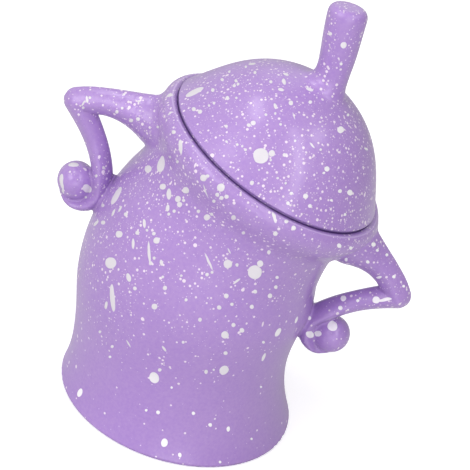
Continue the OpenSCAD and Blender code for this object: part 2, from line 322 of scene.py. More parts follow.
class BodyForm:
    """The hollow body, drawn round a centre line that bends in the XZ plane"""

    WALL_STEPS = 64

    def __init__(self, size):
        self.size = size
        self.lip_low = size.body_len - size.lip_round - size.lip_band
        rest = size.body_len - size.bend_start - size.bend_r * size.bend
        across = size.bend_r * (1 - math.cos(size.bend)) + rest * math.sin(size.bend)
        up = size.bend_r * math.sin(size.bend) + rest * math.cos(size.bend)
        self.mouth = np.array([across - size.hip_shift, up + size.bend_start])
        self.centre = Vector((self.mouth[0], 0, self.mouth[1]))
        self.axis = Vector((math.sin(size.bend), 0, math.cos(size.bend)))
        self.skin = Outline(self.skin_points())
        self.hollow = Outline(self.hollow_points())
        recess_r = size.foot_d / 2 - size.foot_round - size.foot_ring
        below = -SPARE
        self.recess = Outline(
            [(0, below), (recess_r, below), (recess_r, size.recess_h), (0, size.recess_h)]
        )

    def radius(self, s):
        """Outer radius at the length s of the centre line"""
        b = self.size
        rise = np.clip((s - b.foot_round) / (b.waist_h - b.foot_round), 0, 1)
        foot = mix(b.waist_d, b.foot_d, (1 - rise) ** b.flare_power)
        waist = ease(b.waist_d, b.belly_d, (s - b.waist_h) / (b.belly_h - b.waist_h))
        belly = ease(b.belly_d, b.neck_d, (s - b.belly_h) / (b.neck_h - b.belly_h))
        neck = ease(b.neck_d, b.lip_d, (s - b.neck_h) / (self.lip_low - b.neck_h))
        spans = [s < b.waist_h, s < b.belly_h, s < b.neck_h]
        return np.select(spans, [foot, waist, belly], neck) / 2

    def skin_points(self):
        b = self.size
        foot_r = b.foot_d / 2
        lip_r = b.lip_d / 2
        wall = np.linspace(b.foot_round, self.lip_low, self.WALL_STEPS)
        return (
            [(0, 0)]
            + arc((foot_r - b.foot_round, b.foot_round), b.foot_round, -90, 0)
            + list(zip(self.radius(wall), wall))[1:]
            + arc((lip_r - b.lip_round, b.body_len - b.lip_round), b.lip_round, 0, 90)
            + [(0, b.body_len)]
        )

    def hollow_points(self):
        b = self.size
        low = b.recess_h + b.floor_t
        top = b.body_len - b.ledge_t
        wall = np.linspace(low + b.inner_round, top, self.WALL_STEPS // 2)
        inner = self.radius(wall) - b.wall
        mouth_r = b.mouth_d / 2
        above = b.body_len + SPARE
        return (
            [(0, low)]
            + arc((inner[0] - b.inner_round, low + b.inner_round), b.inner_round, -90, 0)
            + list(zip(inner, wall))[1:]
            + [(mouth_r, top), (mouth_r, above), (0, above)]
        )

    def unbend(self, p):
        """Distance of points from the bent centre line, and their length along it"""
        b = self.size
        x = p[:, 0] + b.hip_shift
        z = p[:, 2] - b.bend_start
        turn = np.clip(np.arctan2(z, b.bend_r - x), 0, b.bend)
        x = x - b.bend_r * (1 - np.cos(turn))
        z = z - b.bend_r * np.sin(turn)
        s = b.bend_start + b.bend_r * turn + x * np.sin(turn) + z * np.cos(turn)
        aside = x * np.cos(turn) - z * np.sin(turn)
        low = np.clip(s / b.bend_start, 0, 1)
        aside -= b.hip_shift * (1 - np.sin(math.pi / 2 * low) ** b.hip_power)
        high = np.clip((s - b.belly_h) / (self.lip_low - b.belly_h), 0, 1)
        aside += b.neck_shift * (1 - np.cos(2 * math.pi * high)) / 2
        return np.hypot(aside, p[:, 1]), s

    def wall_point(self, side, s):
        """A point of the wall's outer face in the XZ plane, on one side of the body"""
        b = self.size
        turn = min(max(s - b.bend_start, 0) / b.bend_r, b.bend)
        rest = s - b.bend_start - b.bend_r * turn
        shift = b.hip_shift * math.sin(math.pi / 2 * min(s / b.bend_start, 1)) ** b.hip_power
        high = min(max((s - b.belly_h) / (self.lip_low - b.belly_h), 0), 1)
        reach = side * float(self.radius(np.float64(s)))
        reach -= b.neck_shift * (1 - math.cos(2 * math.pi * high)) / 2
        across = b.bend_r * (1 - math.cos(turn)) + rest * math.sin(turn) + reach * math.cos(turn)
        up = b.bend_r * math.sin(turn) + rest * math.cos(turn) - reach * math.sin(turn)
        return np.array([across - shift, up + b.bend_start])


class HungFrame:
    """A frame at the mouth's centre, tilted by an angle about Y"""

    def __init__(self, centre, tilt):
        self.centre = centre
        self.tilt = tilt

    def place(self, x, z):
        """Distance outwards and upwards in this frame, of a point of the XZ plane"""
        dx, dz = x - self.centre[0], z - self.centre[1]
        return (
            dx * math.cos(self.tilt) - dz * math.sin(self.tilt),
            dx * math.sin(self.tilt) + dz * math.cos(self.tilt),
        )


class ArmForm:
    """One arm: an upper arm, a forearm whose finger curls into a fist, and the ball in it"""

    ARCH = ((0.38, 0.07), (0.72, 0.25))
    ROOT_SHARE = 0.6
    TAPER_SHARE = 0.7
    BOW_NEAR = 0.25
    BOW_FAR = 0.45
    BOW = (0, 1.6 * MM)
    CURL_THIN = 2.5
    INWARD = 12 * MM
    BELOW = 30 * MM
    STEPS = 16
    CURL_STEPS = 20
    SEARCH_STEPS = 4

    def __init__(self, arms, body, side):
        self.side = side
        tilt = body.size.bend - arms.arm_turn
        aside = np.array([math.cos(tilt), -math.sin(tilt)]) * arms.arm_shift
        self.frame = HungFrame(body.mouth - aside, tilt)
        elbow = np.array([arms.elbow_out, -arms.elbow_drop])
        root = self.wall_below(body, arms.shoulder_drop) - np.array([body.size.wall / 2, 0])
        reach = elbow - root
        curve = [root, root + reach * self.ARCH[0], root + reach * self.ARCH[1], elbow]
        ts = np.linspace(0, 1, self.STEPS + 1)
        taper = mix(arms.shoulder_d, arms.elbow_d, np.clip(ts / self.TAPER_SHARE, 0, 1)) / 2
        spread = arms.shoulder_flare * (1 - np.clip(ts / self.ROOT_SHARE, 0, 1)) ** 2
        points = [bezier(curve, t) for t in ts]
        self.upper = Chain(points, taper + spread, np.ones(len(ts)), arms.power)

        ball_r = arms.ball_d / 2
        gap = ball_r + arms.finger_d - arms.finger_nest - arms.fist_bite
        fist = self.wall_below(body, arms.fist_drop) + np.array([gap, 0])
        us = np.linspace(0, 1, self.CURL_STEPS + 1)
        finger = mix(arms.finger_d, arms.tip_d, us**self.CURL_THIN) / 2
        finger_side = mix(arms.finger_w, arms.tip_w, us**self.CURL_THIN) / 2
        turns = arms.curl_from + arms.curl_turn * us
        curl = [
            fist + (ball_r - arms.finger_nest + r) * np.array([math.cos(a), math.sin(a)])
            for r, a in zip(finger, turns)
        ]
        way = curl[1] - curl[0]
        reach = np.linalg.norm(elbow - curl[0])
        curve = [
            elbow,
            mix(elbow, curl[0], self.BOW_NEAR) + self.BOW,
            curl[0] - way / np.linalg.norm(way) * reach * self.BOW_FAR,
            curl[0],
        ]
        spread = (arms.elbow_d - arms.forearm_d) / 2 * (1 - np.clip(2 * ts, 0, 1)) ** 2
        forearm = mix(arms.forearm_d, arms.finger_d, ts) / 2 + spread
        forearm_side = ease(forearm, arms.finger_w / 2, 2 * ts - 1)
        radii = np.concatenate([forearm[:-1], finger])
        sides = np.concatenate([forearm_side[:-1], finger_side])
        points = [bezier(curve, t) for t in ts[:-1]] + curl
        self.lower = Chain(points, radii, sides / radii, arms.power)
        self.ball = fist
        self.ball_r = ball_r
        self.ball_w = arms.ball_w / arms.ball_d
        self.groove = arms.groove_soft
        self.low = fist[1] - self.BELOW
        self.inner = root[0] - self.INWARD

    def wall_below(self, body, drop):
        """The wall's outer face at a distance below the mouth, in this arm's frame"""
        s = body.size.body_len - drop
        for _ in range(self.SEARCH_STEPS):
            out, up = self.frame.place(*body.wall_point(self.side, s))
            s -= up + drop
        return np.array([out * self.side, up])

    def distance(self, p):
        out, up = self.frame.place(p[:, 0], p[:, 2])
        out = out * self.side
        near = (out > self.inner) & (up > self.low)
        far = np.full(len(p), FAR)
        o, y, u = out[near], p[near, 1], up[near]
        ball = (o - self.ball[0]) ** 2 + (u - self.ball[1]) ** 2 + (y / self.ball_w) ** 2
        ball = np.sqrt(ball) - self.ball_r
        arm = np.minimum(self.upper.distance(o, y, u), self.lower.distance(o, y, u))
        far[near] = join(arm, ball, self.groove)
        return far, up


class JarForm:
    """The whole jar as one distance: body and arms, less the hollow, groove and recess"""

    # Where the fists' tight fillets turn into the shoulders' wide ones, in shares of fist_drop
    TIGHT_BELOW = 0.8
    TIGHT_SPAN = 0.4

    def __init__(self, body, arms, lid):
        self.body = BodyForm(body)
        self.mouth, self.axis = self.body.centre, self.body.axis
        self.arms = [ArmForm(arms, self.body, side) for side in (1, -1)]
        self.arm_size = arms
        lid_r = lid.lid_d / 2
        lip_r = body.lip_d / 2
        above = body.body_len + SPARE
        self.groove = Outline(
            [
                (lid_r - lid.lid_round, above),
                (lid_r - lid.lid_round, body.body_len),
                (lid_r - lid.lid_round / 2, body.body_len - body.groove_depth),
                (lip_r, body.body_len - body.groove_depth + body.groove_rise),
                (lip_r, above),
            ]
        )

    def distance(self, p):
        b = self.body.size
        out, s = self.body.unbend(p)
        skin = self.body.skin.distance(out, s)
        for arm in self.arms:
            far, up = arm.distance(p)
            level = (up / self.arm_size.fist_drop + self.TIGHT_BELOW) / self.TIGHT_SPAN
            soft = ease(self.arm_size.fist_soft, self.arm_size.shoulder_soft, level)
            skin = join(skin, far, soft)
        skin = cut(skin, self.groove.distance(out, s), b.groove_soft)
        skin = cut(skin, self.body.hollow.distance(out, s), b.edge_soft)
        return cut(skin, self.body.recess.distance(out, s), b.edge_soft)


class LidForm:
    """The lid as one distance: bell and leaning stem, less the hollow, with its ring"""

    BELL_LOW = (0.815, 0.385)
    BELL_HIGH = (0.68, 0.84)
    STEM_LOW = (0, 0.28)
    STEM_MID = (0.6, 0.58)
    ROOT_SHARE = 0.35
    BELL_STEPS = 48
    STEM_STEPS = 24

    def __init__(self, lid, body):
        self.size = lid
        self.mouth, self.axis = body.centre, body.axis
        self.frame = HungFrame(body.mouth, body.size.bend)
        lid_r = lid.lid_d / 2
        ring_r = body.size.mouth_d / 2 - lid.ring_gap
        scale = np.array([lid_r, lid.dome_h])
        bell = [
            np.array([lid_r, lid.lid_round]),
            scale * self.BELL_LOW,
            scale * self.BELL_HIGH,
            np.array([lid.stem_d / 2, lid.dome_h]),
        ]
        ts = np.linspace(0, 1, self.BELL_STEPS + 1)
        outer = [tuple(bezier(bell, t)) for t in ts[1:]]
        inner = []
        for t in ts:
            way = bezier_way(bell, t)
            inward = np.array([-way[1], way[0]]) / np.linalg.norm(way)
            point = bezier(bell, t) + lid.lid_wall * inward
            if point[1] > lid.lid_wall and point[0] > MM:
                inner.append(tuple(point))
        below = -2 * SPARE
        ring_in = ring_r - lid.ring_t
        self.bell = Outline(
            [(0, 0)]
            + arc((lid_r - lid.lid_round, lid.lid_round), lid.lid_round, -90, 0)
            + outer
            + [(0, lid.dome_h)]
        )
        self.hollow = Outline(
            [(0, below), (ring_in, below), (ring_in, lid.lid_wall), (inner[0][0], lid.lid_wall)]
            + inner
            + [(0, lid.dome_h - lid.lid_wall)]
        )
        soft = lid.ring_t / 4
        self.ring = Outline(
            [(ring_in, lid.lid_wall)]
            + arc((ring_in + soft, -lid.ring_h + soft), soft, 180, 270)
            + arc((ring_r - soft, -lid.ring_h + soft), soft, 270, 360)
            + [(ring_r, lid.lid_wall)]
        )
        rise = lid.stem_h - lid.dome_h
        foot = np.array([0, lid.dome_h])
        reach = np.array([-lid.stem_lean, rise])
        curve = [
            foot - np.array([0, lid.lid_wall / 2]),
            foot + reach * self.STEM_LOW,
            foot + reach * self.STEM_MID,
            foot + reach,
        ]
        ts = np.linspace(0, 1, self.STEM_STEPS + 1)
        radii = ease(lid.stem_d, lid.stem_top_d, ts) / 2
        radii = radii + lid.stem_flare * (1 - np.clip(ts / self.ROOT_SHARE, 0, 1)) ** 2
        way = bezier_way(curve, 1)
        self.top = curve[3]
        self.top_way = way / np.linalg.norm(way)
        past = self.top + self.top_way * lid.stem_top_d
        self.stem = Chain(
            [bezier(curve, t) for t in ts] + [past],
            list(radii) + [radii[-1]],
            np.ones(len(ts) + 1),
        )

    def distance(self, p):
        x, up = self.frame.place(p[:, 0], p[:, 2])
        out = np.hypot(x, p[:, 1])
        shell = self.bell.distance(out, up)
        stem = np.full(len(p), FAR)
        near = up > self.size.dome_h / 3
        tube = self.stem.distance(x[near], p[near, 1], up[near])
        above = (x[near] - self.top[0]) * self.top_way[0]
        above += (up[near] - self.top[1]) * self.top_way[1]
        stem[near] = -join(-tube, -above, self.size.stem_round)
        shell = join(shell, stem, self.size.stem_soft)
        shell = cut(shell, self.hollow.distance(out, up), self.size.edge_soft)
        return join(shell, self.ring.distance(out, up), self.size.ring_soft)


# Fine meshes

# Corners of a small tetrahedron round a point, from which a form's slope is measured
PROBE = np.array([(1, 1, 1), (1, -1, -1), (-1, 1, -1), (-1, -1, 1)], float)
PROBE_STEP = 0.04 * MM
GENTLEST = 0.2
LONGEST_MOVE = 2 * MM
RELAX = 0.5
ROUNDS = 6
SEAM_REACH = 3.5 * MM


def slope(form, p):
    """Distance at points and the way in which it grows"""
    total = np.zeros(len(p))
    way = np.zeros(p.shape)
    for corner in PROBE:
        value = form.distance(p + corner * PROBE_STEP)
        total += value
        way += value[:, None] * corner
    return total / len(PROBE), way / (len(PROBE) * PROBE_STEP)


def onto_surface(form, p):
    """Points moved to where the form's distance is zero"""
    value, way = slope(form, p)
    steep = np.maximum((way**2).sum(1), GENTLEST)
    move = np.clip(value / steep, -LONGEST_MOVE, LONGEST_MOVE)
    return p - way * move[:, None]


def refine(mesh, middle, axis, radius, reach):
    """Cuts the faces near a circle into four"""
    grid = bmesh.new()
    grid.from_mesh(mesh)
    near = set()
    for vertex in grid.verts:
        offset = vertex.co - middle
        rise = offset.dot(axis)
        if math.hypot((offset - axis * rise).length - radius, rise) < reach:
            near.add(vertex)
    edges = [edge for edge in grid.edges if near.issuperset(edge.verts)]
    bmesh.ops.subdivide_edges(grid, edges=edges, cuts=1, use_grid_fill=True)
    grid.to_mesh(mesh)
    grid.free()


def cast_piece(node, form, voxel, seam_r):
    """A fine mesh of a form, made from the solid's own mesh and settled onto the form"""
    name = f"{node}_glazed"
    piece = bpy.data.objects.new(name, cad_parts[node].data.copy())
    bpy.context.scene.collection.objects.link(piece)
    remesh = piece.modifiers.new("Fine grid", "REMESH")
    remesh.mode = "VOXEL"
    remesh.voxel_size = voxel
    graph = bpy.context.evaluated_depsgraph_get()
    mesh = bpy.data.meshes.new_from_object(piece.evaluated_get(graph))
    piece.modifiers.clear()
    piece.data = mesh
    mesh.name = name
    refine(mesh, form.mouth, form.axis, seam_r, SEAM_REACH)

    count = len(mesh.vertices)
    p = np.zeros(count * 3)
    mesh.vertices.foreach_get("co", p)
    p = p.reshape(-1, 3)
    edges = np.zeros(len(mesh.edges) * 2, int)
    mesh.edges.foreach_get("vertices", edges)
    ends = edges.reshape(-1, 2)
    start = np.concatenate([ends[:, 0], ends[:, 1]])
    finish = np.concatenate([ends[:, 1], ends[:, 0]])
    degree = np.bincount(start, minlength=count)[:, None]
    for _ in range(ROUNDS):
        near = np.stack([np.bincount(start, p[finish, k], count) for k in range(3)], 1) / degree
        p = onto_surface(form, mix(p, near, RELAX))
    p = onto_surface(form, p)
    normals = slope(form, p)[1]
    normals /= np.linalg.norm(normals, axis=1)[:, None]
    mesh.vertices.foreach_set("co", p.ravel())
    mesh.update()
    mesh.polygons.foreach_set("use_smooth", np.ones(len(mesh.polygons), bool))
    mesh.normals_split_custom_set_from_vertices([tuple(n) for n in normals])
    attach(piece, BODY)
    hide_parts(node)
    return piece


# Shaders

class Num:
    """A number in a shader: Python's operators on it add Math nodes"""

    def __init__(self, shade, socket):
        self.shade = shade
        self.socket = socket

    def __add__(self, other):
        return self.shade.math("ADD", self, other)

    __radd__ = __add__

    def __sub__(self, other):
        return self.shade.math("SUBTRACT", self, other)

    def __rsub__(self, other):
        return self.shade.math("SUBTRACT", other, self)

    def __mul__(self, other):
        return self.shade.math("MULTIPLY", self, other)

    __rmul__ = __mul__

    def __truediv__(self, other):
        return self.shade.math("DIVIDE", self, other)

    def __rtruediv__(self, other):
        return self.shade.math("DIVIDE", other, self)

    def __lt__(self, other):
        return self.shade.math("LESS_THAN", self, other)

    def least(self, other):
        return self.shade.math("MINIMUM", self, other)

    def most(self, other):
        return self.shade.math("MAXIMUM", self, other)

    def held(self):
        """The number kept between 0 and 1"""
        return self.shade.node("ShaderNodeClamp", sockets={"Value": self}, out=0)


class Shade:
    """A node tree, whose node method makes every node"""

    def __init__(self, tree):
        self.tree = tree
        tree.nodes.clear()

    def node(self, kind, settings=None, sockets=None, out=None):
        made = self.tree.nodes.new(kind)
        for key, value in (settings or {}).items():
            setattr(made, key, value)
        for key, value in (sockets or {}).items():
            if isinstance(value, Num):
                value = value.socket
            if isinstance(value, bpy.types.NodeSocket):
                self.tree.links.new(value, made.inputs[key])
            else:
                made.inputs[key].default_value = value
        if out is None:
            return made
        return Num(self, made.outputs[out])

    def math(self, operation, *values):
        return self.node("ShaderNodeMath", {"operation": operation}, dict(enumerate(values)), out=0)

    def vector(self, operation, *values):
        """The vector that a Vector Math node gives"""
        made = self.node("ShaderNodeVectorMath", {"operation": operation}, dict(enumerate(values)))
        return made.outputs["Vector"]

    def measure(self, operation, *values):
        """The number that a Vector Math node gives"""
        sockets = dict(enumerate(values))
        return self.node("ShaderNodeVectorMath", {"operation": operation}, sockets, out="Value")

    def mixed(self, factor, first, second):
        """A colour between two others"""
        sockets = {0: factor, 6: first, 7: second}
        return self.node("ShaderNodeMix", {"data_type": "RGBA"}, sockets).outputs[2]


def opaque(rgb):
    return (rgb[0], rgb[1], rgb[2], 1)


# How far one kind of speck is moved from the next, along each axis
APART = (1, 0.7, 1.3)


def specks(shade, place, cell, least, most, crowd, edge, shift, stretch):
    """Specks scattered through space, of which only the share given by crowd is shown"""
    grain = tuple(s / cell for s in stretch)
    spot = shade.vector("MULTIPLY_ADD", place, grain, tuple(shift * s for s in APART))
    cells = shade.node("ShaderNodeTexVoronoi", {"feature": "F1"}, {"Vector": spot, "Scale": 1})
    chance = shade.node("ShaderNodeSeparateColor", sockets={"Color": cells.outputs["Color"]})
    size = Num(shade, chance.outputs["Red"])
    luck = Num(shade, chance.outputs["Green"])
    radius = least + (most - least) * (size * size)
    mask = ((radius - Num(shade, cells.outputs["Distance"]) * cell) / edge).held()
    return mask * (luck < crowd)


# Patches to a metre in each noise
WOBBLE_SCALE = 420
CLOUD_SCALE = 38
DEPTH_SCALE = 22
GRAIN_SCALE = 800
RIPPLE_SCALE = 160

# What the noises do: bunch the specks, roughen the glaze's depth and ripple its skin
CLOUD_MOST = 2.2
CLOUD_LESS = 0.3
GRAIN_MOST = 2.4
RIPPLE = 0.03 * MM

# Strength of the darker rim, of the painted highlight on the lip's ridge and of the painted shade
# beside the seam, and how fast the seam's painted dark core sets in
RIM_MOST = 0.45
RIDGE_MOST = 0.7
SHADE_MOST = 0.35
CORE_RISE = 1.8

# Specks are as thick as CROWD_MOST above a height, and there are none below another
CROWD_FROM = 35 * MM
CROWD_SPAN = 72 * MM
CROWD_MOST = 1.3
LEAST_SIDE = 0.65
MOST_SIDE = 1.4
MIDDLE = 0.98
LEFT_ARM = (-55 * MM, -65 * MM)
RIGHT_ARM = (55 * MM, 75 * MM)
RIGHT_MORE = 0.45

# Each kind of speck: width of a cell, least and most radius in mm, share of the cells that
# hold one where they crowd and elsewhere, strength, shift and stretch of the cells
SPECKS = [
    (1.1, 0.18, 0.36, 0.85, 0.03, 0.75, 3.1, (1, 1, 1)),
    (1.8, 0.30, 0.70, 0.85, 0.06, 1, 7.7, (1, 1, 1)),
    (4.0, 0.50, 1.00, 0.40, 0.06, 1, 5.3, (1, 1, 1)),
    (3.8, 0.30, 0.60, 0.40, 0, 1, 9.9, (1, 1, 0.35)),
]

# Painted light: drops are whiter below a height and towards the right, where the lamps leave them
# in shade
WHITER_BELOW = (45 * MM, 30 * MM)
WHITER_RIGHT = (5 * MM, 60 * MM)


def noise(shade, place, scale, detail):
    return shade.node(
        "ShaderNodeTexNoise",
        sockets={"Vector": place, "Scale": scale, "Detail": detail},
        out="Fac",
    )


def ramp(value, start, end):
    """0 at the start and 1 at the end"""
    return ((value - start) / (end - start)).held()


def drops_and_runs(shade, place, look, marks):
    """Gap to the nearest mark: each is a long ball whose skin cuts the glaze"""
    wobble = shade.node(
        "ShaderNodeTexNoise", sockets={"Vector": place, "Scale": WOBBLE_SCALE, "Detail": 1}
    )
    shaken = shade.vector(
        "MULTIPLY_ADD", wobble.outputs["Color"], (look.wobble,) * 3, (-look.wobble / 2,) * 3
    )
    shaken = shade.vector("ADD", place, shaken)
    near = FAR
    for middle, way, half, radius in marks:
        offset = shade.vector("SUBTRACT", shaken, middle)
        along = shade.measure("DOT_PRODUCT", offset, way)
        shorter = shade.node(
            "ShaderNodeVectorMath",
            {"operation": "SCALE"},
            {0: way, "Scale": along * (1 - radius / half)},
        ).outputs["Vector"]
        near = (shade.measure("DISTANCE", offset, shorter) - radius).least(near)
    return near


def scattered_specks(shade, place, look, aside, height, crowd_slope):
    """Specks of every kind, thick near the top and on the right arm, thin near the foot"""
    cloud = noise(shade, place, CLOUD_SCALE, 2)
    crowd = ((height - CROWD_FROM) / CROWD_SPAN).most(0).least(CROWD_MOST)
    crowd = crowd * (cloud * CLOUD_MOST - CLOUD_LESS).held()
    sides = (MIDDLE + aside * crowd_slope).most(LEAST_SIDE).least(MOST_SIDE)
    crowd = crowd * (sides - ramp(aside, *LEFT_ARM)) + ramp(aside, *RIGHT_ARM) * RIGHT_MORE
    small = None
    for cell, least, most, crowded, sparse, strength, shift, stretch in SPECKS:
        kind = strength * specks(
            shade,
            place,
            cell * MM,
            least * MM,
            most * MM,
            crowd * crowded + sparse,
            look.edge,
            shift,
            stretch,
        )
        small = kind if small is None else small.most(kind)
    return small


def seam_gaps(shade, place, look, seam):
    """Gaps to the seam, a circle in the lip's groove, and to the lip's ridge outside it: they place
    the painted shade and the painted highlight
    """
    centre, axis, seam_r = seam
    offset = shade.vector("SUBTRACT", place, centre)
    rise = shade.measure("DOT_PRODUCT", offset, axis)
    flat = shade.measure("LENGTH", offset)
    out = shade.math("SQRT", (flat * flat - rise * rise).most(0)) - seam_r
    to_seam = shade.math("SQRT", out * out + rise * rise)
    out = out - look.ridge_out
    rise = rise - look.ridge_rise
    return to_seam, shade.math("SQRT", out * out + rise * rise)


def splatter_glaze(name, look, marks, seam, shade_share, crowd_slope):
    """Satin lilac glaze under off-white splatter: scattered specks, and drops and runs, whiter as
    painted light where the lamps leave shade; with painted shade at the seam and a painted
    highlight on the lip's ridge
    """
    material = bpy.data.materials.new(name)
    material.use_nodes = True
    shade = Shade(material.node_tree)
    place = shade.node("ShaderNodeTexCoord").outputs["Object"]
    parts = shade.node("ShaderNodeSeparateXYZ", sockets={"Vector": place})
    aside = Num(shade, parts.outputs["X"])
    height = Num(shade, parts.outputs["Z"])

    near = drops_and_runs(shade, place, look, marks)
    big = (0.5 - near / look.edge).held()
    small = scattered_specks(shade, place, look, aside, height, crowd_slope)
    paint = big.most(small)

    # The glaze pools in soft patches with a fine grain, and round the drops
    depth = noise(shade, place, DEPTH_SCALE, 3)
    grain = noise(shade, place, GRAIN_SCALE, 2)
    depth = (depth + grain * GRAIN_MOST - GRAIN_MOST / 2).held()
    glaze = shade.mixed(depth, opaque(look.glaze_deep), opaque(look.glaze))
    rim = (1 - ((near - look.edge) / look.rim).held()) * (1 - big) * RIM_MOST
    glaze = shade.mixed(rim, glaze, opaque(look.glaze_deep))
    # Painted light: the splatter is whiter low down and at the right, where the lamps leave it in
    # shade
    whiter = ramp(height, *WHITER_BELOW).most(ramp(aside, *WHITER_RIGHT))
    drop = shade.mixed(whiter, opaque(look.paint), opaque(look.thick))
    speck = shade.mixed(big, opaque(look.mist), drop)
    tint = shade.mixed(paint, glaze, speck)

    # Painted highlight along the lip's ridge, and painted shade beside the seam and in its dark
    # core
    to_seam, to_ridge = seam_gaps(shade, place, look, seam)
    # Painted highlight on the lip's ridge
    pale = (1 - to_ridge / look.ridge_w).held() * RIDGE_MOST
    tint = shade.mixed(pale, tint, opaque(look.ridge))
    beside = (1 - to_seam / look.shade_w).held() * (SHADE_MOST * shade_share)
    tint = shade.mixed(beside, tint, opaque(look.shade))
    # Painted shade: the seam's dark core under the lid's edge
    core = (CORE_RISE - to_seam / look.seam_w * CORE_RISE).held()
    tint = shade.mixed(core, tint, opaque(look.seam))

    relief = paint * look.relief + noise(shade, place, RIPPLE_SCALE, 2) * RIPPLE
    bump = shade.node(
        "ShaderNodeBump", sockets={"Strength": 1.0, "Distance": 1.0, "Height": relief}
    )
    shader = shade.node(
        "ShaderNodeBsdfPrincipled",
        sockets={
            "Base Color": tint,
            "Roughness": look.roughness + paint * (look.paint_roughness - look.roughness),
            "Coat Weight": look.coat * (1 - core),
            "Coat Roughness": look.coat_roughness,
            "Normal": bump.outputs["Normal"],
        },
    )
    shade.node("ShaderNodeOutputMaterial", sockets={"Surface": shader.outputs["BSDF"]})
    return material


# Splatter that stands out, in pixels of the 470-pixel photograph

